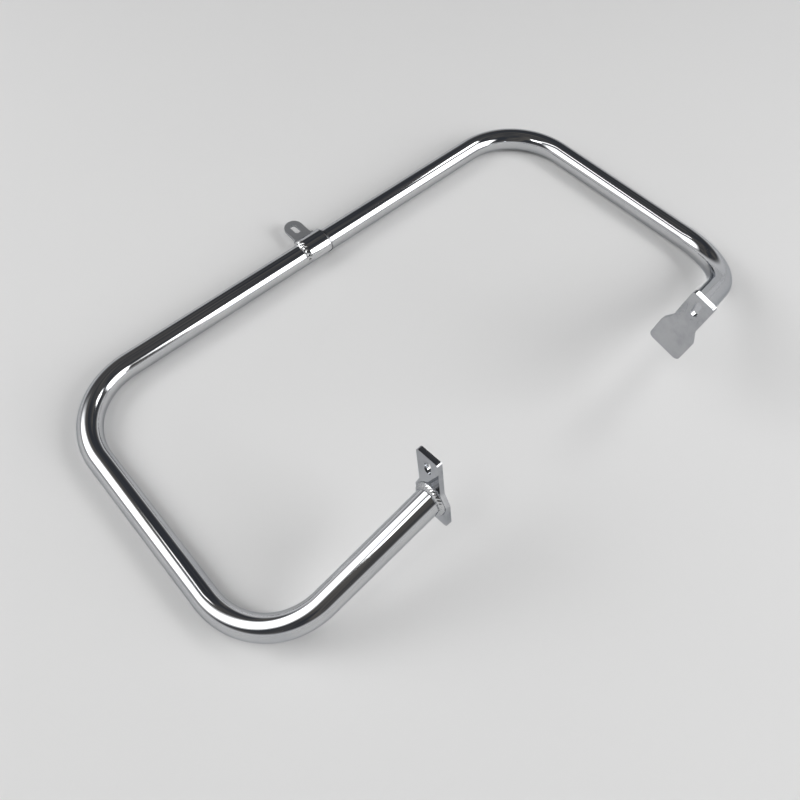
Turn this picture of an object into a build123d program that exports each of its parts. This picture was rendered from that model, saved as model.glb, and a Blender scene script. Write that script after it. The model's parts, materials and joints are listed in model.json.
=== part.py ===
from build123d import *
import os
from math import atan2, cos, degrees, radians, sin, sqrt

# A chromed crash bar for a motorcycle: one bent tube that runs across the machine, down both sides
# and back in to two slotted plates, with a slotted strap welded over the middle of the top run.
# It lies on the floor as it would come to rest: the top run and the legs flat, the returns rising.
# X runs along the top run, the legs reach towards -Y, and Z is up.

# Tube
TUBE_DIAMETER = 31.75
TUBE_WALL = 2.5
BEND_RADIUS = 100.0
TOP_CORNER_HALF_SPAN = 401.0
LOWER_CORNER_HALF_SPAN = 409.0
LEG_REACH = 417.0
RETURN_RISE_DEG = 24.0
LEFT_RETURN_TURN_DEG = 2.5
RIGHT_RETURN_TURN_DEG = 11.0

# End plates
PLATE_GAP = 348.0
PLATE_THICKNESS = 6.0
PLATE_LENGTH = 107.0
PLATE_NARROW_WIDTH = 31.0
PLATE_WIDE_WIDTH = 46.0
PLATE_WIDE_LENGTH = 37.0
PLATE_SHOULDER_LENGTH = 17.0
PLATE_SEAT_DEPTH = 75.0
PLATE_NARROW_CORNER_RADIUS = 4.0
PLATE_SHOULDER_RADIUS = 8.0
PLATE_WIDE_CORNER_RADIUS = 7.0
PLATE_EDGE_BREAK = 0.8
PLATE_SLOT_LENGTH = 22.0
PLATE_SLOT_WIDTH = 9.0
PLATE_SLOT_SETBACK = 19.0
LEFT_PLATE_LEAN_DEG = -8.0
RIGHT_PLATE_LEAN_DEG = 11.0

# Centre strap
STRAP_THICKNESS = 4.0
STRAP_CLEARANCE = 0.1
STRAP_BEND_RADIUS = 8.0
SADDLE_WIDTH = 33.0
SADDLE_END_ANGLE_DEG = 175.0
TAB_WIDTH = 27.0
TAB_REACH = 61.0
TAB_SLOT_LENGTH = 18.0
TAB_SLOT_WIDTH = 9.0
TAB_SLOT_REACH = 44.0

# Weld beads
PLATE_WELD_LEG = 5.0
STRAP_WELD_LEG = 3.6
WELD_BULGE = 0.66
WELD_TOE = 0.12

# Worked out from the sizes above
TUBE_RADIUS = TUBE_DIAMETER / 2
MITRE_ALLOWANCE = TUBE_DIAMETER
SAW_CUT_SIZE = 4 * TUBE_DIAMETER
PLATE_FACE = PLATE_GAP / 2 + PLATE_THICKNESS
SADDLE_INNER_RADIUS = TUBE_RADIUS + STRAP_CLEARANCE
SADDLE_MID_RADIUS = SADDLE_INNER_RADIUS + STRAP_THICKNESS / 2
STRAP_BEND_MID_RADIUS = STRAP_BEND_RADIUS + STRAP_THICKNESS / 2
STRAP_BEND_Y = sqrt((SADDLE_MID_RADIUS + STRAP_BEND_MID_RADIUS) ** 2 - STRAP_BEND_MID_RADIUS ** 2)
SADDLE_START_ANGLE_DEG = degrees(atan2(STRAP_BEND_MID_RADIUS, STRAP_BEND_Y))
SADDLE_WRAP_DEG = SADDLE_END_ANGLE_DEG - SADDLE_START_ANGLE_DEG


def return_direction(side: int, turn_deg: float) -> Vector:
    """Direction of a return from its lower corner to its plate, for side -1 (left) or 1 (right)."""
    rise = radians(RETURN_RISE_DEG)
    turn = radians(turn_deg)
    return Vector(-side * cos(rise) * cos(turn), -cos(rise) * sin(turn), sin(rise))


def lower_corner(side: int) -> Vector:
    """Point where the axes of a leg and its return would cross."""
    return Vector(side * LOWER_CORNER_HALF_SPAN, -LEG_REACH, 0)


def seat(side: int, turn_deg: float) -> Vector:
    """Point where the axis of a return meets the outer face of its plate."""
    direction = return_direction(side, turn_deg)
    run = (LOWER_CORNER_HALF_SPAN - PLATE_FACE) / abs(direction.X)
    return lower_corner(side) + direction * run


LEFT = (-1, LEFT_RETURN_TURN_DEG)
RIGHT = (1, RIGHT_RETURN_TURN_DEG)


def main_tube() -> Part:
    """The tube: five straight runs and four bends, hollow, with both ends mitred to the plates."""
    points = [
        seat(*LEFT) + return_direction(*LEFT) * MITRE_ALLOWANCE,
        lower_corner(-1),
        Vector(-TOP_CORNER_HALF_SPAN, 0, 0),
        Vector(TOP_CORNER_HALF_SPAN, 0, 0),
        lower_corner(1),
        seat(*RIGHT) + return_direction(*RIGHT) * MITRE_ALLOWANCE,
    ]
    path = FilletPolyline(*points, radius=BEND_RADIUS)
    ring = Circle(TUBE_RADIUS) - Circle(TUBE_RADIUS - TUBE_WALL)
    tube = sweep(Plane(origin=path @ 0, z_dir=path % 0) * ring, path=path)
    saw = Box(SAW_CUT_SIZE, SAW_CUT_SIZE, SAW_CUT_SIZE)
    for side, turn_deg in (LEFT, RIGHT):
        tube -= Pos(seat(side, turn_deg) - Vector(side * SAW_CUT_SIZE / 2, 0, 0)) * saw
    return tube


def plate_outline(lean_deg: float) -> Sketch:
    """A plate's face about the point where the tube's axis meets it, with a slot that stays upright."""
    top = PLATE_SEAT_DEPTH
    bottom = top - PLATE_LENGTH
    shoulder = bottom + PLATE_WIDE_LENGTH
    neck = shoulder + PLATE_SHOULDER_LENGTH
    half_narrow = PLATE_NARROW_WIDTH / 2
    half_wide = PLATE_WIDE_WIDTH / 2
    right_edge = [(half_narrow, top), (half_narrow, neck), (half_wide, shoulder), (half_wide, bottom)]
    left_edge = [(-y, z) for y, z in reversed(right_edge)]
    right_radii = [
        PLATE_NARROW_CORNER_RADIUS,
        PLATE_SHOULDER_RADIUS,
        PLATE_SHOULDER_RADIUS,
        PLATE_WIDE_CORNER_RADIUS,
    ]
    left_radii = right_radii[::-1]
    rim = FilletPolyline(*right_edge, *left_edge, radius=right_radii + left_radii, close=True)
    slot = SlotOverall(PLATE_SLOT_LENGTH, PLATE_SLOT_WIDTH, rotation=90 - lean_deg)
    return Rot(0, 0, lean_deg) * (make_face(rim) - Pos(0, top - PLATE_SLOT_SETBACK) * slot)


def end_plate(side: int, turn_deg: float, lean_deg: float) -> Part:
    """A plate parallel to the machine's mid plane, leaning to -Y, its outer face on the tube's end."""
    upright = Plane(origin=seat(side, turn_deg), x_dir=(0, 1, 0), z_dir=(1, 0, 0))
    face = upright * plate_outline(lean_deg)
    plate = extrude(face, amount=PLATE_THICKNESS, dir=(-side, 0, 0))
    rims = [edge for flat in plate.faces().filter_by(Axis.X) for edge in flat.outer_wire().edges()]
    return chamfer(rims, PLATE_EDGE_BREAK)


def plate_weld(side: int, turn_deg: float) -> Part:
    """The bead round the seam of tube and plate: an oblique fillet ring that follows the mitre."""
    direction = return_direction(side, turn_deg)
    start = seat(side, turn_deg)
    lean = degrees(atan2(direction.Z, direction.Y))
    stations = ((0, 1), (0.5, WELD_BULGE), (1, WELD_TOE))
    rings = []
    for height, spread in stations:
        centre = start - direction * (height * PLATE_WELD_LEG / abs(direction.X))
        growth = spread * PLATE_WELD_LEG
        ring = Ellipse(TUBE_RADIUS / abs(direction.X) + growth, TUBE_RADIUS + growth, rotation=lean)
        rings.append(Plane(origin=centre, x_dir=(0, 1, 0), z_dir=(1, 0, 0)) * ring)
    bead = loft(rings, ruled=True)
    core = Plane(origin=start, z_dir=direction) * Cylinder(TUBE_RADIUS, SAW_CUT_SIZE)
    return bead - core


def centre_strap() -> Part:
    """One strip of plate: a saddle bent over the tube, a reverse bend, and a flat slotted tab."""
    saddle = CenterArc((0, 0), SADDLE_MID_RADIUS, SADDLE_START_ANGLE_DEG, SADDLE_WRAP_DEG)
    bend_centre = (STRAP_BEND_Y, STRAP_BEND_MID_RADIUS)
    bend_turn_deg = 90 - SADDLE_START_ANGLE_DEG
    bend = CenterArc(bend_centre, STRAP_BEND_MID_RADIUS, 270 - bend_turn_deg, bend_turn_deg)
    tab = Line((STRAP_BEND_Y, 0), (TAB_REACH, 0))
    strip = Plane.YZ * trace([saddle, bend, tab], STRAP_THICKNESS)
    folded = extrude(strip, amount=SADDLE_WIDTH / 2, both=True)
    tab_end = TAB_REACH - TAB_WIDTH / 2
    blank = Rectangle(SADDLE_WIDTH, 2 * STRAP_BEND_Y)
    blank += Pos(0, tab_end / 2) * Rectangle(TAB_WIDTH, tab_end)
    blank += Pos(0, tab_end) * Circle(TAB_WIDTH / 2)
    blank -= Pos(0, TAB_SLOT_REACH) * SlotOverall(TAB_SLOT_LENGTH, TAB_SLOT_WIDTH, rotation=90)
    return folded & extrude(blank, amount=2 * SADDLE_MID_RADIUS, both=True)


def strap_weld() -> Part:
    """The bead along the left end of the saddle, from the reverse bend over the top to its free edge."""
    end_face = -SADDLE_WIDTH / 2
    root = (end_face, TUBE_RADIUS)
    toe = (end_face - STRAP_WELD_LEG, TUBE_RADIUS)
    crown = (end_face, TUBE_RADIUS + STRAP_WELD_LEG)
    bulge = (end_face - STRAP_WELD_LEG * WELD_BULGE, TUBE_RADIUS + STRAP_WELD_LEG * WELD_BULGE)
    section = make_face(Polyline(root, toe, bulge, crown, close=True))
    bead = revolve(section, axis=Axis.X, revolution_arc=SADDLE_WRAP_DEG)
    return Rot(SADDLE_START_ANGLE_DEG, 0, 0) * bead


NODES = {
    "main_tube": main_tube(),
    "left_plate": end_plate(*LEFT, LEFT_PLATE_LEAN_DEG),
    "right_plate": end_plate(*RIGHT, RIGHT_PLATE_LEAN_DEG),
    "centre_strap": centre_strap(),
    "weld_beads": Compound([plate_weld(*LEFT), plate_weld(*RIGHT), strap_weld()]),
}

box = Compound(list(NODES.values())).bounding_box()
to_floor = Pos(-box.center().X, -box.center().Y, -box.min.Z)

os.makedirs("parts", exist_ok=True)
for name, solid in NODES.items():
    export_step(to_floor * solid, f"parts/{name}.step")
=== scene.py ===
"""A chromed crash bar for a motorcycle: one bent tube, two slotted end plates and a slotted centre strap.

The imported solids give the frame. Smooth meshes stand for them here, because polished plating shows every
facet: the tube and the weld beads are grown along their paths, the plates and the strap are cut as flat
blanks with rounded edges, and the strap is then folded over the tube.
"""
import json
import logging
import math
from dataclasses import dataclass, field, replace
from enum import Enum
from typing import Any, Callable, Mapping, Sequence

import bmesh
import bpy
from mathutils import Matrix, Vector

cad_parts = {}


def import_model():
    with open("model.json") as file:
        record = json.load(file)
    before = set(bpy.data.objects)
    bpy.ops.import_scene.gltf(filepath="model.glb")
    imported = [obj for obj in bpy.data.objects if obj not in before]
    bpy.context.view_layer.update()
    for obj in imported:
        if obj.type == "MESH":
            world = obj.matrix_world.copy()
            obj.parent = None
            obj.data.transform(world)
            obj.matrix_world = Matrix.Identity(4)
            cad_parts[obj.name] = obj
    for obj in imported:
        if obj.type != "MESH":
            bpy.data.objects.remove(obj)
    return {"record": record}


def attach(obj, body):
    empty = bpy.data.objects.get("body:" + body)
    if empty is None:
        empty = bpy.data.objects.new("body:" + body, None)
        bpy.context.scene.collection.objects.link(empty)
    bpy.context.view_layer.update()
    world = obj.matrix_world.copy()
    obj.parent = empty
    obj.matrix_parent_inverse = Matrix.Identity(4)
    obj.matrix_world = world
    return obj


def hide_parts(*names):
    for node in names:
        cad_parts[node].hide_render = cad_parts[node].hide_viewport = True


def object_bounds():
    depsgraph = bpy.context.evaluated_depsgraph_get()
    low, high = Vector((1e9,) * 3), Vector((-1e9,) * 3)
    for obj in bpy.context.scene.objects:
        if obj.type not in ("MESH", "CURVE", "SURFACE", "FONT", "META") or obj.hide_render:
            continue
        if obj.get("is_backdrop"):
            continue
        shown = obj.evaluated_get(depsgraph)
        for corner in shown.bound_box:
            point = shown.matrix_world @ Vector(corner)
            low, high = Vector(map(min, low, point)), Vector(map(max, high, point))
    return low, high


LOG = logging.getLogger("crash_bar")
MM = 0.001
NEAR = 0.002 * MM
SHARP_ANGLE = math.radians(60.0)
EDGE_SEGMENTS = 4
FLAT_FACE_WEIGHT = 100
BODY = "root"
Colour = tuple[float, float, float]
Scale3 = tuple[float, float, float]
Point2 = tuple[float, float]
Span = tuple[float, float]
Maker = Callable[[bpy.types.Material], bpy.types.Object]


class Side(Enum):
    """The two ends of the bar, by the sign of X that they lie on."""

    LEFT = -1
    RIGHT = 1


class Axis(Enum):
    """The frame's axes, by their place in a vector."""

    X = 0
    Y = 1
    Z = 2


class Slot(Enum):
    """The record's material slots."""

    CHROME = "chrome"
    WELD = "weld"


class Term:
    """A socket in a node tree, as a number or a vector that sums are written with."""

    def __init__(self, tree: "Tree", socket: bpy.types.NodeSocket) -> None:
        """Wraps one output socket of a tree."""
        self.tree = tree
        self.socket = socket

    @property
    def is_vector(self) -> bool:
        """Whether the socket carries a vector."""
        return self.socket.type == "VECTOR"

    def __add__(self, other: Any) -> "Term":
        """Sum of this and another value."""
        return self.tree.sum("ADD", self, other)

    def __radd__(self, other: Any) -> "Term":
        """Sum of another value and this."""
        return self.tree.sum("ADD", other, self)

    def __sub__(self, other: Any) -> "Term":
        """This less another value."""
        return self.tree.sum("SUBTRACT", self, other)

    def __rsub__(self, other: Any) -> "Term":
        """Another value less this."""
        return self.tree.sum("SUBTRACT", other, self)

    def __mul__(self, other: Any) -> "Term":
        """This times another value."""
        return self.tree.sum("MULTIPLY", self, other)

    def __rmul__(self, other: Any) -> "Term":
        """Another value times this."""
        return self.tree.sum("MULTIPLY", other, self)

    def __truediv__(self, other: Any) -> "Term":
        """This divided by another value."""
        return self.tree.sum("DIVIDE", self, other)

    def __rtruediv__(self, other: Any) -> "Term":
        """Another value divided by this."""
        return self.tree.sum("DIVIDE", other, self)


class Tree:
    """A node tree that is written as expressions."""

    def __init__(self, nodes: bpy.types.NodeTree) -> None:
        """Starts from an empty tree.

        Args:
            nodes: the tree to fill, whose nodes are removed first.
        """
        self.nodes = nodes
        self.nodes.nodes.clear()

    def node(self, kind: str, settings: Mapping[str, Any] | None = None,
             sockets: Mapping[Any, Any] | None = None) -> bpy.types.Node:
        """Adds any node.

        Args:
            kind: the node's type name.
            settings: its properties, set before its sockets. The key captures holds the kind and name
                of each captured attribute.
            sockets: values or terms of its inputs, by name or number.

        Returns:
            The new node.
        """
        made = self.nodes.nodes.new(kind)
        for key, value in (settings or {}).items():
            if key == "captures":
                for data_type, name in value:
                    made.capture_items.new(data_type, name)
            else:
                setattr(made, key, value)
        for key, value in (sockets or {}).items():
            self.feed(made.inputs[key], value)
        return made

    def feed(self, socket: bpy.types.NodeSocket, value: Any) -> None:
        """Gives an input socket its value.

        Args:
            socket: the input.
            value: a term or a list of terms to link, or a plain value to set.
        """
        if isinstance(value, list):
            for part in value:
                self.feed(socket, part)
        elif isinstance(value, Term):
            self.nodes.links.new(value.socket, socket)
        else:
            socket.default_value = value

    def term(self, made: bpy.types.Node, output: Any = 0) -> Term:
        """A node's output as a term."""
        return Term(self, made.outputs[output])

    def value(self, kind: str, settings: Mapping[str, Any] | None = None,
              sockets: Mapping[Any, Any] | None = None, output: Any = 0) -> Term:
        """Adds any node and gives one of its outputs as a term."""
        return self.term(self.node(kind, settings, sockets), output)

    def sum(self, operation: str, *parts: Any) -> Term:
        """Adds a Math or a Vector Math node.

        Args:
            operation: the node's operation.
            parts: terms, numbers or vectors, in the order of the node's inputs.

        Returns:
            The result as a term.
        """
        vectors = [isinstance(p, Vector) or (isinstance(p, Term) and p.is_vector) for p in parts]
        if not any(vectors):
            return self.value("ShaderNodeMath", {"operation": operation}, dict(enumerate(parts)))
        if operation == "MULTIPLY" and not all(vectors):
            arrow, factor = parts if vectors[0] else reversed(parts)
            return self.value("ShaderNodeVectorMath", {"operation": "SCALE"}, {0: arrow, "Scale": factor})
        return self.value("ShaderNodeVectorMath", {"operation": operation}, dict(enumerate(parts)))

    def parts_of(self, arrow: Term) -> tuple[Term, Term, Term]:
        """The X, Y and Z of a vector term."""
        made = self.node("ShaderNodeSeparateXYZ", sockets={0: arrow})
        return self.term(made, 0), self.term(made, 1), self.term(made, 2)

    def blend(self, factor: Term, low: Colour | Term, high: Colour | Term) -> Term:
        """A colour between two, by a factor from 0 to 1."""
        first, second = (part if isinstance(part, Term) else (*part, 1.0) for part in (low, high))
        return self.value("ShaderNodeMix", {"data_type": "RGBA"}, {"Factor": factor, 6: first, 7: second}, 2)

    def noise(self, place: Term, scale: float, detail: float = 2.0, roughness: float = 0.5) -> Term:
        """A cloudy value about 0.5, from a place."""
        return self.value("ShaderNodeTexNoise", {"noise_dimensions": "3D"},
                          {"Vector": place, "Scale": scale, "Detail": detail, "Roughness": roughness})

    def length(self, arrow: Term) -> Term:
        """The length of a vector term."""
        return self.value("ShaderNodeVectorMath", {"operation": "LENGTH"}, {0: arrow}, "Value")

    def smooth(self, amount: Term, low: float, high: float) -> Term:
        """A soft step: 0 below low, 1 above high."""
        return self.value("ShaderNodeMapRange", {"interpolation_type": "SMOOTHSTEP"},
                          {"Value": amount, "From Min": low, "From Max": high})


def tree_of(owner: bpy.types.Material | bpy.types.Light | bpy.types.World) -> Tree:
    """The node tree of a material, a lamp or a world, emptied."""
    owner.use_nodes = True
    return Tree(owner.node_tree)


def linked(name: str, data: bpy.types.ID) -> bpy.types.Object:
    """Makes an object and links it to the scene.

    Args:
        name: the object's name.
        data: its mesh, lamp or camera.

    Returns:
        The object, at the origin.
    """
    made = bpy.data.objects.new(name, data)
    bpy.context.scene.collection.objects.link(made)
    return made


def settled(carrier: bpy.types.Object) -> bpy.types.Mesh:
    """Turns what an object's modifiers make into a plain mesh.

    Args:
        carrier: the object, which is removed afterwards.

    Returns:
        The plain mesh.
    """
    graph = bpy.context.evaluated_depsgraph_get()
    mesh = bpy.data.meshes.new_from_object(carrier.evaluated_get(graph))
    bpy.data.objects.remove(carrier)
    return mesh


class Grower(Tree):
    """A Geometry Nodes tree with named sizes, which turns a guide mesh into a piece."""

    def __init__(self, name: str, sizes: Mapping[str, float | int]) -> None:
        """Makes the tree and its inputs.

        Args:
            name: the tree's name.
            sizes: each named size and its value, a whole number for a count.
        """
        group = bpy.data.node_groups.new(name, "GeometryNodeTree")
        super().__init__(group)
        group.interface.new_socket("Guide", in_out="INPUT", socket_type="NodeSocketGeometry")
        self.sizes: dict[str, tuple[str, float | int]] = {}
        for label, value in sizes.items():
            kind = "NodeSocketInt" if isinstance(value, int) else "NodeSocketFloat"
            socket = group.interface.new_socket(label, in_out="INPUT", socket_type=kind)
            self.sizes[label] = (socket.identifier, value)
        group.interface.new_socket("Piece", in_out="OUTPUT", socket_type="NodeSocketGeometry")
        self.inputs = self.node("NodeGroupInput")

    def size(self, label: str) -> Term:
        """One of the tree's inputs as a term."""
        return self.term(self.inputs, label)

    def marked(self, shape: Term, kind: str, label: str, amount: Term) -> Term:
        """The shape with a named attribute on its points."""
        return self.value("GeometryNodeStoreNamedAttribute", {"data_type": kind, "domain": "POINT"},
                          {"Geometry": shape, "Name": label, "Value": amount})

    def finish(self, shape: Term, material: bpy.types.Material) -> None:
        """Ends the tree in real geometry that is shaded smooth, with its material.

        Args:
            shape: the geometry that the tree has made.
            material: the piece's finish.
        """
        smooth = self.value("GeometryNodeSetShadeSmooth", {"domain": "FACE"},
                            {"Geometry": shape, "Shade Smooth": True})
        real = self.value("GeometryNodeRealizeInstances", sockets={"Geometry": smooth})
        painted = self.value("GeometryNodeSetMaterial", sockets={"Geometry": real, "Material": material})
        self.node("NodeGroupOutput", sockets={0: painted})

    def grow(self, guide: bpy.types.Mesh, changes: Mapping[str, float] | None = None) -> bpy.types.Mesh:
        """Runs the tree on a guide mesh.

        Args:
            guide: the mesh that the tree starts from, which is removed afterwards.
            changes: sizes that differ for this piece, by name.

        Returns:
            The grown piece as a plain mesh.
        """
        carrier = linked(guide.name, guide)
        modifier = carrier.modifiers.new("grow", "NODES")
        modifier.node_group = self.nodes
        for label, (identifier, value) in self.sizes.items():
            modifier[identifier] = (changes or {}).get(label, value)
        grown = settled(carrier)
        bpy.data.meshes.remove(guide)
        return grown


@dataclass(frozen=True)
class Plating:
    """Bright chrome plating over steel.

    The plating is a near mirror, a little weaker at a grazing view. A faint haze drifts over it, its
    buffing leaves fine lines, and the steel below it is not quite flat. It is dull where the buff couldn't
    reach: on a span of a piece's depth and in the valleys of a weld. In the corner beside a piece that lies
    on it, it is rougher and carries a painted shade. A gain adds to the roughness and a tone to the dullness
    or the painted shade. An attribute, a gain or a width that is left empty adds nothing.
    """

    name: str
    bright: Colour = (0.60, 0.605, 0.615)
    dull: Colour = (0.52, 0.53, 0.55)
    grazing: Colour = (0.62, 0.64, 0.67)
    gloss: float = 0.035
    haze: float = 0.05
    haze_scale: float = 11.0
    haze_span: Span = (0.38, 0.72)
    haze_tone: float = 0.6
    line_gain: float = 0.02
    line_tone: float = 0.25
    line_scale: Scale3 = (900.0, 900.0, 900.0)
    peel_scale: float = 75.0
    peel_depth: float = 0.00004
    lay_attribute: str = ""
    valley_attribute: str = ""
    valley_gain: float = 0.0
    valley_top: float = 0.55
    valley_tone: float = 0.5
    matt_axis: Axis = Axis.Y
    matt_span: Span = (0.0, 0.0)
    matt_gain: float = 0.0
    matt_tone: float = 0.25
    # Painted shade: a dark band, rougher as well, on either side of a place along X, where a piece lies on
    # this one.
    painted_shade_place: float = 0.0
    painted_shade_width: float = 0.0
    painted_shade_core: float = 0.7
    painted_shade_gain: float = 0.25
    painted_shade_tone: float = 0.9
    painted_shade_colour: Colour = (0.12, 0.12, 0.13)

    def build(self) -> bpy.types.Material:
        """Makes the material.

        Returns:
            The finished material, with its maps from Object coordinates.
        """
        material = bpy.data.materials.new(self.name)
        tree = tree_of(material)
        place = tree.value("ShaderNodeTexCoord", output="Object")
        haze = tree.smooth(tree.noise(place, self.haze_scale, detail=4.0, roughness=0.6), *self.haze_span)
        lay = place
        if self.lay_attribute:
            lay = tree.value("ShaderNodeAttribute", {"attribute_name": self.lay_attribute}, output="Vector")
        stretched = tree.value("ShaderNodeMapping", sockets={"Vector": lay, "Scale": self.line_scale})
        lines = tree.noise(stretched, scale=1.0, roughness=0.55)
        rough = self.gloss + haze * self.haze + lines * self.line_gain
        dulled = haze * self.haze_tone + lines * self.line_tone
        if self.valley_attribute:
            rise = tree.value("ShaderNodeAttribute", {"attribute_name": self.valley_attribute}, output="Fac")
            valley = 1.0 - tree.smooth(rise, 0.0, self.valley_top)
            rough = rough + valley * self.valley_gain
            dulled = dulled + valley * self.valley_tone
        if self.matt_gain:
            matt = tree.smooth(tree.parts_of(place)[self.matt_axis.value], *self.matt_span)
            rough = rough + matt * self.matt_gain
            dulled = dulled + matt * self.matt_tone
        colour = tree.blend(tree.smooth(dulled, 0.0, 1.0), self.bright, self.dull)
        # Painted shade: the colour darkens to the painted shade colour within the width about the place along
        # X.
        if self.painted_shade_width:
            reach = tree.sum("ABSOLUTE", tree.parts_of(place)[Axis.X.value] - self.painted_shade_place)
            shade = 1.0 - tree.smooth(reach, self.painted_shade_width * self.painted_shade_core, self.painted_shade_width)
            rough = rough + shade * self.painted_shade_gain
            colour = tree.blend(shade * self.painted_shade_tone, colour, self.painted_shade_colour)
        peel = tree.noise(place, self.peel_scale, detail=1.0, roughness=0.4)
        bump = tree.value("ShaderNodeBump", sockets={"Strength": 1.0, "Distance": self.peel_depth,
                                                     "Height": peel}, output="Normal")
        shader = tree.node("ShaderNodeBsdfPrincipled", sockets={
            "Base Color": colour,
            "Metallic": 1.0,
            "Specular Tint": (*self.grazing, 1.0),
            "Roughness": rough,
            "Normal": bump,
        })
        tree.node("ShaderNodeOutputMaterial", sockets={"Surface": tree.term(shader, "BSDF")})
        return material


TUBE_CHROME = Plating("tube_chrome", line_gain=0.05, line_scale=(7.0, 7.0, 9.0), lay_attribute="lay")
PLATE_CHROME = Plating("plate_chrome", bright=(0.55, 0.555, 0.57), dull=(0.40, 0.41, 0.43), gloss=0.02,
                       haze=0.04, haze_scale=26.0, line_gain=0.02, line_scale=(300.0, 1500.0, 45.0),
                       peel_scale=120.0, matt_axis=Axis.X, matt_gain=0.22)
# The strap's painted shade, on its end face at the saddle's right end, is a lighter grey than the tube's.
STRAP_CHROME = Plating("strap_chrome", dull=(0.50, 0.51, 0.53), gloss=0.045, haze=0.05, line_gain=0.04,
                       line_scale=(1500.0, 60.0, 300.0), peel_scale=140.0, matt_gain=0.42,
                       painted_shade_colour=(0.30, 0.305, 0.315))
WELD_CHROME = Plating("weld_chrome", bright=(0.64, 0.645, 0.65), dull=(0.42, 0.43, 0.45), gloss=0.06,
                      haze=0.08, peel_scale=420.0, peel_depth=0.00007, valley_attribute="rise",
                      valley_gain=0.16)


def rounded(corners: Sequence[Point2], radii: Sequence[float], steps: int) -> list[Point2]:
    """Rounds the corners of a closed outline.

    Args:
        corners: the outline's corners in order, before rounding.
        radii: one radius for each corner, 0 where it stays sharp.
        steps: how many chords make up each arc.

    Returns:
        The outline's points, with an arc at each rounded corner.
    """
    points: list[Point2] = []
    for index, (corner, radius) in enumerate(zip(corners, radii)):
        here = Vector(corner)
        back = (Vector(corners[index - 1]) - here).normalized()
        ahead = (Vector(corners[(index + 1) % len(corners)]) - here).normalized()
        half = back.angle(ahead) / 2
        if radius <= 0:
            points.append(corner)
            continue
        middle = here + (back + ahead).normalized() * (radius / math.sin(half))
        first = here + back * (radius / math.tan(half)) - middle
        turn = math.pi - 2 * half
        if back.x * ahead.y - back.y * ahead.x > 0:
            turn = -turn
        for step in range(steps + 1):
            angle = turn * step / steps
            cosine, sine = math.cos(angle), math.sin(angle)
            points.append((middle.x + first.x * cosine - first.y * sine,
                           middle.y + first.x * sine + first.y * cosine))
    before = points[-1:] + points[:-1]
    return [point for point, last in zip(points, before) if math.dist(point, last) > NEAR]


def slotted(centre: Point2, length: float, width: float, steps: int, turn: float = 0.0) -> list[Point2]:
    """A slot's outline.

    Args:
        centre: the slot's middle.
        length: its length over its round ends, in the second direction before it is turned.
        width: its width.
        steps: how many chords make up each quarter of its ends.
        turn: angle by which it is turned about its middle.

    Returns:
        The outline's points.
    """
    half, reach = width / 2, length / 2
    corners = [(-half, -reach), (half, -reach), (half, reach), (-half, reach)]
    cosine, sine = math.cos(turn), math.sin(turn)
    return [(centre[0] + x * cosine - y * sine, centre[1] + x * sine + y * cosine)
            for x, y in rounded(corners, [half] * 4, steps)]


def blank(outline: Sequence[Point2], hole: Sequence[Point2], thickness: float,
          edge: float) -> bmesh.types.BMesh:
    """Cuts a flat blank with one hole and rounded edges.

    Args:
        outline: the blank's outer outline.
        hole: the hole's outline.
        thickness: the sheet's thickness, centred on the outline's plane.
        edge: the radius of the rounded edges.

    Returns:
        The blank as a closed mesh.
    """
    mesh = bmesh.new()
    rims = []
    for loop in (outline, hole):
        ring = [mesh.verts.new((x, y, -thickness / 2)) for x, y in loop]
        rims += [mesh.edges.new((a, b)) for a, b in zip(ring, ring[1:] + ring[:1])]
    bmesh.ops.triangle_fill(mesh, use_beauty=True, edges=rims)
    lifted = bmesh.ops.extrude_face_region(mesh, geom=mesh.faces[:])
    raised = [item for item in lifted["geom"] if isinstance(item, bmesh.types.BMVert)]
    bmesh.ops.translate(mesh, verts=raised, vec=(0, 0, thickness))
    bmesh.ops.recalc_face_normals(mesh, faces=mesh.faces[:])
    sharp = [e for e in mesh.edges if len(e.link_faces) == 2 and e.calc_face_angle() > SHARP_ANGLE]
    bmesh.ops.bevel(mesh, geom=sharp, offset=edge, offset_type="OFFSET", segments=EDGE_SEGMENTS,
                    profile=0.5, affect="EDGES", clamp_overlap=True)
    return mesh


def placed(name: str, shape: bmesh.types.BMesh, place: Matrix,
           material: bpy.types.Material) -> bpy.types.Mesh:
    """Turns a shape into a mesh in its place.

    Args:
        name: the mesh's name.
        shape: the shape, which is freed afterwards.
        place: where it goes.
        material: its finish.

    Returns:
        The mesh.
    """
    mesh = bpy.data.meshes.new(name)
    shape.to_mesh(mesh)
    shape.free()
    mesh.transform(place)
    mesh.materials.append(material)
    return mesh


def smooth_piece(name: str, mesh: bpy.types.Mesh) -> bpy.types.Object:
    """Makes a piece whose flat faces stay flat beside their rounded edges.

    Args:
        name: the piece's name.
        mesh: its mesh, in place.

    Returns:
        The piece, linked to the scene.
    """
    mesh.shade_smooth()
    carrier = linked(name + "_carrier", mesh)
    weighted = carrier.modifiers.new("weighted", "WEIGHTED_NORMAL")
    weighted.weight = FLAT_FACE_WEIGHT
    return linked(name, settled(carrier))


def hand_over(piece: bpy.types.Object, node: str) -> None:
    """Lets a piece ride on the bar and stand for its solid.

    Args:
        piece: the finished piece.
        node: the solid that it stands for.
    """
    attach(piece, BODY)
    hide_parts(node)
    LOG.info("%s stands for %s with %d faces", piece.name, node, len(piece.data.polygons))


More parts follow.
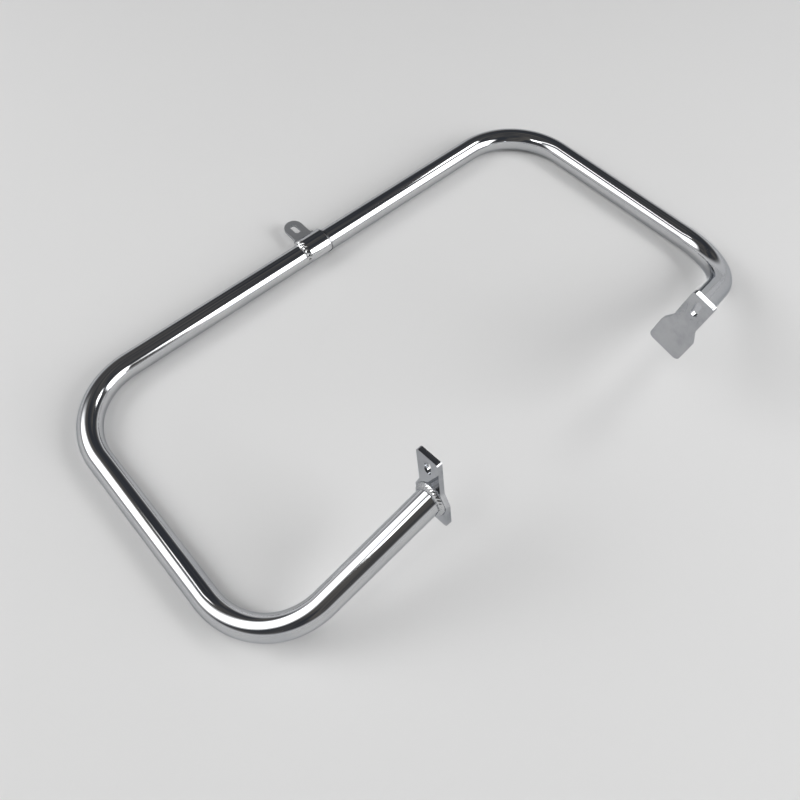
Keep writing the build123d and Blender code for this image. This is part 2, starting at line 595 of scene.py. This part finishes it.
@dataclass
class BentTube:
    """The tube: a top run, two legs and two rising returns, joined by four bends of one radius."""

    origin: Vector
    radius: float = 15.875 * MM
    wall: float = 2.5 * MM
    bend_radius: float = 100.0 * MM
    top_half_span: float = 401.0 * MM
    lower_half_span: float = 409.0 * MM
    leg_reach: float = 417.0 * MM
    rise: float = math.radians(24.0)
    turns: dict[Side, float] = field(default_factory=lambda: {
        Side.LEFT: math.radians(2.5), Side.RIGHT: math.radians(11.0)})
    plate_face: float = 180.0 * MM
    end_band: float = 1.5 * MM
    end_share: float = 1e-6
    ring_steps: int = 72
    bend_steps: int = 40

    def run(self, side: Side) -> Vector:
        """Direction of a return, from its lower corner to its plate."""
        turn = self.turns[side]
        return Vector((-side.value * math.cos(self.rise) * math.cos(turn),
                       -math.cos(self.rise) * math.sin(turn), math.sin(self.rise)))

    def lower_corner(self, side: Side) -> Vector:
        """Where the axes of a leg and its return would cross."""
        return Vector((side.value * self.lower_half_span, -self.leg_reach, 0))

    def seat(self, side: Side) -> Vector:
        """Where the axis of a return meets its plate's outer face."""
        run = self.run(side)
        return self.lower_corner(side) + run * ((self.lower_half_span - self.plate_face) / abs(run.x))

    def guide(self) -> bpy.types.Mesh:
        """The tube's axis before bending.

        Returns:
            A mesh that is a chain of straight edges from plate to plate.
        """
        left, right = Side.LEFT, Side.RIGHT
        corners = [self.seat(left), self.lower_corner(left), Vector((-self.top_half_span, 0, 0)),
                   Vector((self.top_half_span, 0, 0)), self.lower_corner(right), self.seat(right)]
        mesh = bpy.data.meshes.new("tube_axis")
        mesh.from_pydata(corners, [(i, i + 1) for i in range(len(corners) - 1)], [])
        return mesh

    def grower(self, material: bpy.types.Material) -> Grower:
        """The tree that bends the axis, sweeps the tube's two walls along it and mitres both ends.

        Args:
            material: the tube's finish.

        Returns:
            The finished tree. It leaves the place round and along the tube in the attribute lay.
        """
        tree = Grower("bent_tube", {"Tube Radius": self.radius, "Tube Wall": self.wall,
                                    "Bend Radius": self.bend_radius, "Plate Face": self.plate_face,
                                    "Ring Steps": self.ring_steps, "Bend Steps": self.bend_steps})
        axis = tree.value("GeometryNodeMeshToCurve", sockets={0: tree.size("Guide")})
        bent = tree.value("GeometryNodeFilletCurve", {"mode": "POLY"}, {
            "Curve": axis, "Count": tree.size("Bend Steps"), "Radius": tree.size("Bend Radius"),
            "Limit Radius": False})
        spline = tree.node("GeometryNodeSplineParameter")
        share = tree.term(spline, "Factor")
        kept = tree.node("GeometryNodeCaptureAttribute",
                         {"domain": "POINT", "captures": [("FLOAT", "share"), ("FLOAT", "length"),
                                                          ("VECTOR", "heading")]},
                         {"Geometry": bent, "share": share, "length": tree.term(spline, "Length"),
                          "heading": tree.value("GeometryNodeInputTangent")})
        outer, bore = (tree.value("GeometryNodeCurvePrimitiveCircle", {"mode": "RADIUS"}, {
            "Resolution": tree.size("Ring Steps"), "Radius": radius})
            for radius in (tree.size("Tube Radius"), tree.size("Tube Radius") - tree.size("Tube Wall")))
        walls = tree.value("GeometryNodeJoinGeometry", sockets={
            "Geometry": [outer, tree.value("GeometryNodeReverseCurve", sockets={"Curve": bore})]})
        ring = tree.node("GeometryNodeCaptureAttribute", {"domain": "POINT", "captures": [("FLOAT", "turn")]},
                         {"Geometry": walls, "turn": share})
        swept = tree.value("GeometryNodeCurveToMesh", sockets={
            "Curve": tree.term(kept, "Geometry"), "Profile Curve": tree.term(ring, "Geometry")})
        along, tangent = tree.term(kept, "share"), tree.term(kept, "heading")
        x = tree.parts_of(tree.value("GeometryNodeInputPosition"))[0]
        tangent_x = tree.parts_of(tangent)[0]
        slide = (tree.sum("SIGN", x) * tree.size("Plate Face") - x) / tangent_x
        at_end = tree.sum("LESS_THAN", along * (1.0 - along), self.end_share)
        mitred = tree.value("GeometryNodeSetPosition", sockets={
            "Geometry": swept, "Selection": at_end, "Offset": tangent * slide})
        turn = tree.term(ring, "turn") * (2 * math.pi)
        lay = tree.value("ShaderNodeCombineXYZ", sockets={
            0: tree.sum("COSINE", turn), 1: tree.sum("SINE", turn), 2: tree.term(kept, "length")})
        tree.finish(tree.marked(mitred, "FLOAT_VECTOR", "lay", lay), material)
        return tree

    def build(self, material: bpy.types.Material) -> bpy.types.Object:
        """Grows the tube's walls in their place and closes the sawn ends between them.

        Args:
            material: the tube's finish.

        Returns:
            The tube as a piece. A ring of points beside each sawn end keeps the long walls' shading true.
        """
        swept = self.grower(material).grow(self.guide())
        walls = bmesh.new()
        walls.from_mesh(swept)
        bpy.data.meshes.remove(swept)
        for side in Side:
            rims = [e for e in walls.edges if e.is_boundary and e.verts[0].co.x * side.value > 0]
            ends = list(dict.fromkeys(face for edge in rims for face in edge.link_faces))
            edges = list(dict.fromkeys(edge for face in ends for edge in face.edges))
            corners = list(dict.fromkeys(corner for edge in edges for corner in edge.verts))
            bmesh.ops.bisect_plane(walls, geom=corners + edges + ends, plane_no=(1, 0, 0),
                                   plane_co=(side.value * (self.plate_face + self.end_band), 0, 0))
            for sawn in bmesh.ops.bridge_loops(walls, edges=rims)["faces"]:
                sawn.smooth = False
        bmesh.ops.recalc_face_normals(walls, faces=walls.faces[:])
        return linked("bent_tube", placed("bent_tube", walls, Matrix.Translation(self.origin), material))


@dataclass
class EndPlate:
    """A flat plate with a flared end, welded upright across a return, with one slot for its bolt."""

    tube: BentTube
    side: Side
    thickness: float = 6.0 * MM
    length: float = 107.0 * MM
    narrow: float = 31.0 * MM
    wide: float = 46.0 * MM
    wide_length: float = 37.0 * MM
    shoulder_length: float = 17.0 * MM
    seat_depth: float = 75.0 * MM
    narrow_corner: float = 4.0 * MM
    shoulder_radius: float = 8.0 * MM
    wide_corner: float = 7.0 * MM
    edge: float = 1.6 * MM
    slot_length: float = 22.0 * MM
    slot_width: float = 9.0 * MM
    slot_setback: float = 19.0 * MM
    leans: dict[Side, float] = field(default_factory=lambda: {
        Side.LEFT: math.radians(-8.0), Side.RIGHT: math.radians(11.0)})
    arc_steps: int = 10

    def outline(self) -> list[Point2]:
        """The plate's face, narrow end up.

        Returns:
            Its points, about the point where the tube's axis meets it.
        """
        top = self.seat_depth
        bottom = top - self.length
        shoulder = bottom + self.wide_length
        neck = shoulder + self.shoulder_length
        half_narrow, half_wide = self.narrow / 2, self.wide / 2
        right = [(half_narrow, top), (half_narrow, neck), (half_wide, shoulder), (half_wide, bottom)]
        radii = [self.narrow_corner, self.shoulder_radius, self.shoulder_radius, self.wide_corner]
        left = [(-across, up) for across, up in reversed(right)]
        return rounded(right + left, radii + radii[::-1], self.arc_steps)

    def depth_span(self) -> Span:
        """Where the plate's outer and inner faces lie along X."""
        outer = self.tube.origin.x + self.side.value * self.tube.plate_face
        return outer, outer - self.side.value * self.thickness

    def build(self, material: bpy.types.Material) -> bpy.types.Object:
        """Cuts the plate and stands it on the tube's mitred end.

        Args:
            material: the plate's finish.

        Returns:
            The plate as a piece.
        """
        lean = self.leans[self.side]
        hole = slotted((0.0, self.seat_depth - self.slot_setback), self.slot_length, self.slot_width,
                       self.arc_steps, -lean)
        cut = blank(self.outline(), hole, self.thickness, self.edge)
        name = f"{self.side.name.lower()}_end_plate"
        upright = Matrix(((0, 0, 1, 0), (1, 0, 0, 0), (0, 1, 0, 0), (0, 0, 0, 1)))
        inset = Vector((-self.side.value * self.thickness / 2, 0, 0))
        place = Matrix.Translation(self.tube.origin + self.tube.seat(self.side) + inset)
        stood = place @ Matrix.Rotation(lean, 4, "X") @ upright
        return smooth_piece(name, placed(name, cut, stood, material))


@dataclass
class CentreStrap:
    """One strip of sheet: a flat slotted tab, a reverse bend and a saddle over the top run."""

    tube: BentTube
    thickness: float = 4.0 * MM
    clearance: float = 0.1 * MM
    bend_radius: float = 8.0 * MM
    saddle_width: float = 33.0 * MM
    saddle_end: float = math.radians(175.0)
    tab_width: float = 27.0 * MM
    tab_reach: float = 61.0 * MM
    slot_length: float = 18.0 * MM
    slot_width: float = 9.0 * MM
    slot_reach: float = 44.0 * MM
    neck_radius: float = 1.0 * MM
    shoulder_radius: float = 1.5 * MM
    tail_radius: float = 4.0 * MM
    edge: float = 0.6 * MM
    # Widths of the painted shade at the saddle's right end: on the tube beside it and on the strap's own end.
    shade_on_tube: float = 4.6 * MM
    shade_on_end: float = 1.2 * MM
    arc_steps: int = 12
    fold_step: float = 1.2 * MM

    @property
    def saddle_radius(self) -> float:
        """Radius of the saddle's middle layer."""
        return self.tube.radius + self.clearance + self.thickness / 2

    @property
    def fold_radius(self) -> float:
        """Radius of the reverse bend's middle layer."""
        return self.bend_radius + self.thickness / 2

    @property
    def tab_start(self) -> float:
        """Distance from the tube's axis at which the flat tab starts."""
        return math.sqrt((self.saddle_radius + self.fold_radius) ** 2 - self.fold_radius ** 2)

    @property
    def saddle_start(self) -> float:
        """Angle round the tube at which the saddle starts."""
        return math.atan2(self.fold_radius, self.tab_start)

    @property
    def fold_length(self) -> float:
        """Length of the reverse bend along the middle layer."""
        return self.fold_radius * (math.pi / 2 - self.saddle_start)

    @property
    def saddle_length(self) -> float:
        """Length of the saddle along the middle layer."""
        return self.saddle_radius * (self.saddle_end - self.saddle_start)

    def outline(self) -> list[Point2]:
        """The flat blank.

        Returns:
            Its points. The second direction runs from the saddle's free end to the tab's tip.
        """
        tail = -self.fold_length - self.saddle_length
        tip = self.tab_reach - self.tab_start
        half_saddle, half_tab = self.saddle_width / 2, self.tab_width / 2
        right = [(half_tab, tip), (half_tab, 0.0), (half_saddle, 0.0), (half_saddle, tail)]
        radii = [half_tab, self.neck_radius, self.shoulder_radius, self.tail_radius]
        left = [(-across, along) for across, along in reversed(right)]
        return rounded(right + left, radii + radii[::-1], self.arc_steps)

    def folded(self, along: float, lift: float) -> Point2:
        """Where a point of the blank lies once the strip is folded.

        Args:
            along: distance from the start of the tab, positive towards its tip.
            lift: height over the strip's middle layer.

        Returns:
            The point's distance behind the tube's axis and its height over it.
        """
        if along >= 0:
            return self.tab_start + along, lift
        if along > -self.fold_length:
            # The reverse bend's centre is over the start of the tab, so its arc starts straight below it.
            angle = 1.5 * math.pi + along / self.fold_radius
            reach = self.fold_radius - lift
            return self.tab_start + reach * math.cos(angle), self.fold_radius + reach * math.sin(angle)
        angle = self.saddle_start + (-along - self.fold_length) / self.saddle_radius
        reach = self.saddle_radius + lift
        return reach * math.cos(angle), reach * math.sin(angle)

    def build(self, material: bpy.types.Material) -> bpy.types.Object:
        """Cuts the blank, folds it over the tube and sets it in place.

        Args:
            material: the strap's finish.

        Returns:
            The strap as a piece.
        """
        hole = slotted((0.0, self.slot_reach - self.tab_start), self.slot_length, self.slot_width,
                       self.arc_steps)
        cut = blank(self.outline(), hole, self.thickness, self.edge)
        curved = self.fold_length + self.saddle_length
        creases = math.ceil(curved / self.fold_step)
        for crease in range(creases):
            geometry = cut.verts[:] + cut.edges[:] + cut.faces[:]
            bmesh.ops.bisect_plane(cut, geom=geometry, dist=NEAR, plane_no=(0, 1, 0),
                                   plane_co=(0, -curved * crease / creases, 0))
        in_order = sorted(cut.verts, key=lambda vertex: vertex.co[:])
        bmesh.ops.remove_doubles(cut, verts=in_order, dist=NEAR)
        bmesh.ops.dissolve_degenerate(cut, edges=cut.edges[:], dist=NEAR)
        for vertex in cut.verts:
            back, up = self.folded(vertex.co.y, vertex.co.z)
            vertex.co.y, vertex.co.z = back, up
        name = "centre_strap_sheet"
        return smooth_piece(name, placed(name, cut, Matrix.Translation(self.tube.origin), material))


@dataclass
class Seam:
    """One weld's path: at each station the corner that it fills and the two legs of the bead.

    The pitch is about how far apart its ripples are, and is fitted to a closed seam. The ripple is how
    high they stand.
    """

    corners: list[Vector]
    out_legs: list[Vector]
    back_legs: list[Vector]
    closed: bool
    pitch: float
    ripple: float

    def travel(self) -> list[float]:
        """How far along the seam its stations lie.

        Returns:
            The distance from the first station to each.
        """
        distances = [0.0]
        for here, ahead in zip(self.corners, self.corners[1:]):
            distances.append(distances[-1] + (ahead - here).length)
        return distances

    def guide(self, name: str, taper: float) -> bpy.types.Mesh:
        """The stations as points that carry the bead's legs.

        Args:
            name: the mesh's name.
            taper: length over which an open seam swells from its ends.

        Returns:
            The guide mesh, with its attributes.
        """
        travel = self.travel()
        ripples = travel[-1] / self.pitch
        if self.closed:
            ripples = round(ripples)
        phase = [distance / travel[-1] * ripples for distance in travel]
        swell = [1.0] * len(travel)
        if not self.closed:
            ends = [min(distance, travel[-1] - distance) / taper for distance in travel]
            swell = [math.sqrt(1 - (1 - min(end, 1.0)) ** 2) for end in ends]
        mesh = bpy.data.meshes.new(name)
        mesh.from_pydata(self.corners, [], [])
        for label, arrows in (("out_leg", self.out_legs), ("back_leg", self.back_legs)):
            attribute = mesh.attributes.new(label, "FLOAT_VECTOR", "POINT")
            attribute.data.foreach_set("vector", [part for arrow in arrows for part in arrow])
        for label, amounts in (("phase", phase), ("swell", swell)):
            mesh.attributes.new(label, "FLOAT", "POINT").data.foreach_set("value", amounts)
        return mesh


@dataclass
class WeldBeads:
    """The three beads: one round each plate's joint and one along the saddle's left end."""

    tube: BentTube
    strap: CentreStrap
    plate_leg: float = 5.0 * MM
    plate_pitch: float = 3.4 * MM
    plate_ripple: float = 0.75 * MM
    strap_leg: float = 4.3 * MM
    strap_spread: float = 8.0 * MM
    strap_pitch: float = 5.2 * MM
    strap_ripple: float = 1.3 * MM
    bulge: float = 0.24
    lag: float = 0.7
    unevenness: float = 0.22
    lump_scale: float = 130.0
    ripple_datum: float = 0.6
    taper: float = 3.0 * MM
    stations: int = 420
    section_steps: int = 14

    def plate_seam(self, side: Side) -> Seam:
        """The oblique ring where a return meets its plate.

        Args:
            side: the return's side.

        Returns:
            The closed seam.
        """
        run = self.tube.run(side)
        seat = self.tube.seat(side)
        across = run.orthogonal().normalized()
        upright = run.cross(across)
        corners, out_legs, back_legs = [], [], []
        for station in range(self.stations + 1):
            angle = 2 * math.pi * station / self.stations
            normal = across * math.cos(angle) + upright * math.sin(angle)
            point = seat + normal * self.tube.radius
            corners.append(point + run * ((seat.x - point.x) / run.x))
            out_legs.append(Vector((0, normal.y, normal.z)).normalized() * self.plate_leg)
            back_legs.append(run * -self.plate_leg)
        return Seam(corners, out_legs, back_legs, True, self.plate_pitch, self.plate_ripple)

    def strap_seam(self) -> Seam:
        """The arc along the saddle's left end, over the top of the tube.

        Returns:
            The open seam.
        """
        start, end = self.strap.saddle_start, self.strap.saddle_end
        corners, out_legs, back_legs = [], [], []
        for station in range(self.stations + 1):
            angle = start + (end - start) * station / self.stations
            normal = Vector((0, math.cos(angle), math.sin(angle)))
            corners.append(Vector((-self.strap.saddle_width / 2, 0, 0)) + normal * self.tube.radius)
            out_legs.append(normal * self.strap_leg)
            back_legs.append(Vector((-self.strap_spread, 0, 0)))
        return Seam(corners, out_legs, back_legs, False, self.strap_pitch, self.strap_ripple)

    def grower(self, material: bpy.types.Material) -> Grower:
        """The tree that lays a rippled bead along a seam.

        Args:
            material: the bead's finish.

        Returns:
            The finished tree. It leaves the height of each ripple in the attribute rise.
        """
        tree = Grower("weld_bead", {"Stations": self.stations, "Section Steps": self.section_steps,
                                    "Ripple Height": self.plate_ripple, "Bulge": self.bulge,
                                    "Lag": self.lag, "Unevenness": self.unevenness})
        # The sheet's first and last rows stay in the corner, which closes the bead's section.
        rows = tree.size("Section Steps") + 2.0
        sheet = tree.value("GeometryNodeMeshGrid", sockets={
            "Size X": 1.0, "Size Y": 1.0, "Vertices X": tree.size("Stations") + 1.0,
            "Vertices Y": rows + 1.0})
        place = tree.parts_of(tree.value("GeometryNodeInputPosition"))
        station = tree.sum("ROUND", (place[0] + 0.5) * tree.size("Stations"))
        row = (place[1] + 0.5) * rows
        share = (row - 1.0) / tree.size("Section Steps")
        across = tree.sum("MAXIMUM", tree.sum("MINIMUM", share, 1.0), 0.0)
        on_face = tree.sum("GREATER_THAN", row, 0.5) * tree.sum("LESS_THAN", row, rows - 0.5)

        def sampled(kind: str, label: str) -> Term:
            """A value of the seam at this station.

            Args:
                kind: the value's data type.
                label: the attribute's name, or nothing for the station's place.

            Returns:
                The value as a term.
            """
            if label:
                source = tree.value("GeometryNodeInputNamedAttribute", {"data_type": kind}, {"Name": label})
            else:
                source = tree.value("GeometryNodeInputPosition")
            return tree.value("GeometryNodeSampleIndex",
                              {"data_type": kind, "domain": "POINT", "clamp": True},
                              {"Geometry": tree.size("Guide"), "Value": source, "Index": station})

        corner = sampled("FLOAT_VECTOR", "")
        lumps = tree.noise(corner, self.lump_scale, detail=1.0)
        swell = sampled("FLOAT", "swell") * (1.0 + (lumps - 0.5) * tree.size("Unevenness"))
        out_leg = sampled("FLOAT_VECTOR", "out_leg") * swell
        back_leg = sampled("FLOAT_VECTOR", "back_leg") * swell
        crown = tree.sum("SINE", across * math.pi)
        step = tree.sum("FRACT", sampled("FLOAT", "phase") + crown * tree.size("Lag"))
        # Each ripple is a parabola, from 0 at both of its ends to 1 at its middle.
        rise = step * (1.0 - step) * 4.0
        face = out_leg * (1.0 - across) + back_leg * across
        outward = tree.sum("NORMALIZE", out_leg + back_leg)
        ripple = (rise - self.ripple_datum) * tree.size("Ripple Height") * swell
        proud = crown * (tree.length(out_leg) * tree.size("Bulge") + ripple)
        target = corner + (face + outward * proud) * on_face
        laid = tree.value("GeometryNodeSetPosition", sockets={"Geometry": sheet, "Position": target})
        tree.finish(tree.marked(laid, "FLOAT", "rise", rise), material)
        return tree

    def build(self, material: bpy.types.Material) -> bpy.types.Object:
        """Lays the three beads as one piece.

        Args:
            material: the beads' finish.

        Returns:
            The beads, each a closed ring or strip.
        """
        tree = self.grower(material)
        seams = {"left_seam": self.plate_seam(Side.LEFT), "right_seam": self.plate_seam(Side.RIGHT),
                 "strap_seam": self.strap_seam()}
        beads = bmesh.new()
        for name, seam in seams.items():
            bead = tree.grow(seam.guide(name, self.taper), {"Ripple Height": seam.ripple})
            beads.from_mesh(bead)
            bpy.data.meshes.remove(bead)
        bmesh.ops.remove_doubles(beads, verts=beads.verts[:], dist=NEAR)
        bmesh.ops.dissolve_degenerate(beads, edges=beads.edges[:], dist=NEAR)
        bmesh.ops.recalc_face_normals(beads, faces=beads.faces[:])
        for edge in beads.edges:
            edge.smooth = edge.calc_face_angle() < SHARP_ANGLE
        name = "weld_bead_rings"
        return linked(name, placed(name, beads, Matrix.Translation(self.tube.origin), material))


@dataclass(frozen=True)
class Panel:
    """A light panel that faces the bar and fades towards its border.

    Its bearing is in degrees from +Y towards +X, its height in degrees over the floor, its sides and distance
    in metres, and its level the brightness that a mirror shows.
    """

    name: str
    bearing: float
    height: float
    distance: float
    width: float
    depth: float
    level: float
    border: float = 0.2

    def soften(self, lamp: bpy.types.Light) -> None:
        """Fades the lamp over a border, given as a share of the panel's sides.

        Args:
            lamp: the panel's lamp.
        """
        tree = tree_of(lamp)
        across, along, _ = tree.parts_of(tree.value("ShaderNodeNewGeometry", output="Parametric"))
        fades = [tree.smooth(tree.sum("MINIMUM", share, 1.0 - share), 0.0, self.border)
                 for share in (across, along)]
        glow = tree.value("ShaderNodeEmission", sockets={"Color": fades[0] * fades[1], "Strength": 1.0})
        tree.node("ShaderNodeOutputLight", sockets={"Surface": glow})

    def hang(self, target: Vector) -> None:
        """Adds the lamp.

        Args:
            target: the point that the panel faces.
        """
        lamp = bpy.data.lights.new(self.name, "AREA")
        self.soften(lamp)
        lamp.shape = "RECTANGLE"
        lamp.size = self.width
        lamp.size_y = self.depth
        lamp.energy = self.level * math.pi * self.width * self.depth
        bearing, height = math.radians(self.bearing), math.radians(self.height)
        away = Vector((math.sin(bearing) * math.cos(height), math.cos(bearing) * math.cos(height),
                       math.sin(height)))
        holder = linked(self.name, lamp)
        holder.location = target + away * self.distance
        holder.rotation_mode = "QUATERNION"
        holder.rotation_quaternion = (-away).to_track_quat("-Z", "Y")


@dataclass
class Studio:
    """A pale floor under a dim dome with a pale horizon, five soft panels and the camera."""

    panels: tuple[Panel, ...] = (
        Panel("right_panel", bearing=148.2, height=27.7, distance=3.6, width=2.8, depth=2.8, level=5.8),
        Panel("left_panel", bearing=-47.6, height=37.2, distance=3.7, width=4.5, depth=3.3, level=4.8,
              border=0.42),
        Panel("strip_panel", bearing=-43.5, height=68.4, distance=3.6, width=2.9, depth=0.32, level=2.6),
        Panel("side_panel", bearing=-95.3, height=58.4, distance=3.7, width=1.1, depth=0.95, level=5.8),
        Panel("back_panel", bearing=100.8, height=47.9, distance=3.8, width=1.05, depth=1.05, level=5.8),
    )
    floor_half: float = 2.4
    floor_fade: Span = (1.2, 2.2)
    floor_bright: Colour = (0.80, 0.80, 0.795)
    floor_dull: Colour = (0.77, 0.77, 0.77)
    floor_roughness: float = 0.8
    floor_specular: float = 0.1
    floor_cloud: float = 1.5
    horizon: Colour = (0.72, 0.72, 0.725)
    dome_low: Colour = (0.045, 0.049, 0.058)
    dome_high: Colour = (0.126, 0.120, 0.112)
    dome_cloud: float = 3.2
    dome_span: Span = (0.35, 0.7)
    horizon_top: float = 0.12
    dome_start: float = 0.34
    eye: Vector = field(default_factory=lambda: Vector((-0.46032, -0.46682, 0.89987)))
    heading: float = math.radians(42.687)
    dip: float = math.radians(57.612)
    roll: float = math.radians(0.982)
    focal_pixels: float = 839.6
    image_pixels: float = 800.0
    sensor_mm: float = 36.0

    def lay_floor(self) -> None:
        """Lays the floor, a pale sheet with a faint drift of tone that fades into the pale surround."""
        material = bpy.data.materials.new("floor_sheet")
        tree = tree_of(material)
        place = tree.value("ShaderNodeTexCoord", output="Object")
        tone = tree.blend(tree.noise(place, self.floor_cloud), self.floor_bright, self.floor_dull)
        shader = tree.node("ShaderNodeBsdfPrincipled", sockets={
            "Base Color": tone, "Roughness": self.floor_roughness, "Specular IOR Level": self.floor_specular})
        faded = tree.value("ShaderNodeMixShader", sockets={
            0: tree.smooth(tree.length(place), *self.floor_fade), 1: tree.term(shader, "BSDF"),
            2: tree.value("ShaderNodeBsdfTransparent")})
        tree.node("ShaderNodeOutputMaterial", sockets={"Surface": faded})
        mesh = bpy.data.meshes.new("floor_sheet")
        half = self.floor_half
        mesh.from_pydata([(-half, -half, 0), (half, -half, 0), (half, half, 0), (-half, half, 0)], [],
                         [(0, 1, 2, 3)])
        mesh.materials.append(material)
        floor = linked("floor_sheet", mesh)
        floor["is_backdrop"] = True

    def raise_dome(self) -> None:
        """Sets the world: pale near the horizon, dim above it."""
        world = bpy.data.worlds.new("dome")
        bpy.context.scene.world = world
        tree = tree_of(world)
        away = tree.value("ShaderNodeTexCoord", output="Generated")
        cloud = tree.smooth(tree.noise(away, self.dome_cloud), *self.dome_span)
        dome = tree.blend(cloud, self.dome_low, self.dome_high)
        up = tree.parts_of(away)[Axis.Z.value]
        colour = tree.blend(tree.smooth(up, self.horizon_top, self.dome_start), self.horizon, dome)
        light = tree.value("ShaderNodeBackground", sockets={"Color": colour, "Strength": 1.0})
        tree.node("ShaderNodeOutputWorld", sockets={"Surface": light})

    def set_camera(self) -> None:
        """Puts the camera where the photograph was taken from."""
        data = bpy.data.cameras.new("camera")
        data.sensor_width = self.sensor_mm
        data.lens = self.focal_pixels / self.image_pixels * self.sensor_mm
        camera = linked("camera", data)
        turn = (Matrix.Rotation(-self.heading, 4, "Z") @ Matrix.Rotation(math.pi / 2 - self.dip, 4, "X")
                @ Matrix.Rotation(self.roll, 4, "Z"))
        camera.matrix_world = Matrix.Translation(self.eye) @ turn
        bpy.context.scene.camera = camera

    def build(self, target: Vector) -> None:
        """Sets up the whole studio.

        Args:
            target: the point that the panels face.
        """
        bpy.context.scene.view_settings.view_transform = "Standard"
        self.lay_floor()
        self.raise_dome()
        for panel in self.panels:
            panel.hang(target)
        self.set_camera()


def bar_origin(frame: Mapping[str, Any]) -> Vector:
    """Where the mid plane meets the top run's axis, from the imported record.

    Args:
        frame: the loaded frame.

    Returns:
        The point in the row's frame.
    """
    mounts = {mount["name"]: Vector(mount["pos_m"]) for mount in frame["record"]["mounts"]}
    return mounts["tab_slot"] + Vector((0, -CentreStrap.slot_reach, CentreStrap.thickness / 2))


def main() -> None:
    """Loads the frame, builds each piece and its finish, and sets the studio about the frame's box."""
    logging.basicConfig(level=logging.INFO, format="%(message)s")
    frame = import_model()
    cad_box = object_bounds()
    tube = BentTube(bar_origin(frame))
    strap = CentreStrap(tube)
    plates = {side: EndPlate(tube, side) for side in Side}
    plate_finishes = {side: replace(PLATE_CHROME, name=f"{side.name.lower()}_plate_chrome",
                                    matt_span=plate.depth_span()).build() for side, plate in plates.items()}
    # The tube and the strap both get a painted shade in the corner at the saddle's right end.
    strap_end = tube.origin.x + strap.saddle_width / 2
    tab_span = (tube.origin.y + tube.radius, tube.origin.y + strap.tab_start)
    tube_finish = replace(TUBE_CHROME, painted_shade_place=strap_end, painted_shade_width=strap.shade_on_tube).build()
    strap_finish = replace(STRAP_CHROME, matt_span=tab_span, painted_shade_place=strap_end,
                           painted_shade_width=strap.shade_on_end).build()
    makers: list[tuple[Maker, bpy.types.Material, str, Slot]] = [
        (tube.build, tube_finish, "main_tube", Slot.CHROME),
        (plates[Side.LEFT].build, plate_finishes[Side.LEFT], "left_plate", Slot.CHROME),
        (plates[Side.RIGHT].build, plate_finishes[Side.RIGHT], "right_plate", Slot.CHROME),
        (strap.build, strap_finish, "centre_strap", Slot.CHROME),
        (WeldBeads(tube, strap).build, WELD_CHROME.build(), "weld_beads", Slot.WELD),
    ]
    for build, finish, node, slot in makers:
        hand_over(build(finish), node)
    Studio().build((cad_box[0] + cad_box[1]) / 2)


if __name__ == "__main__":
    main()
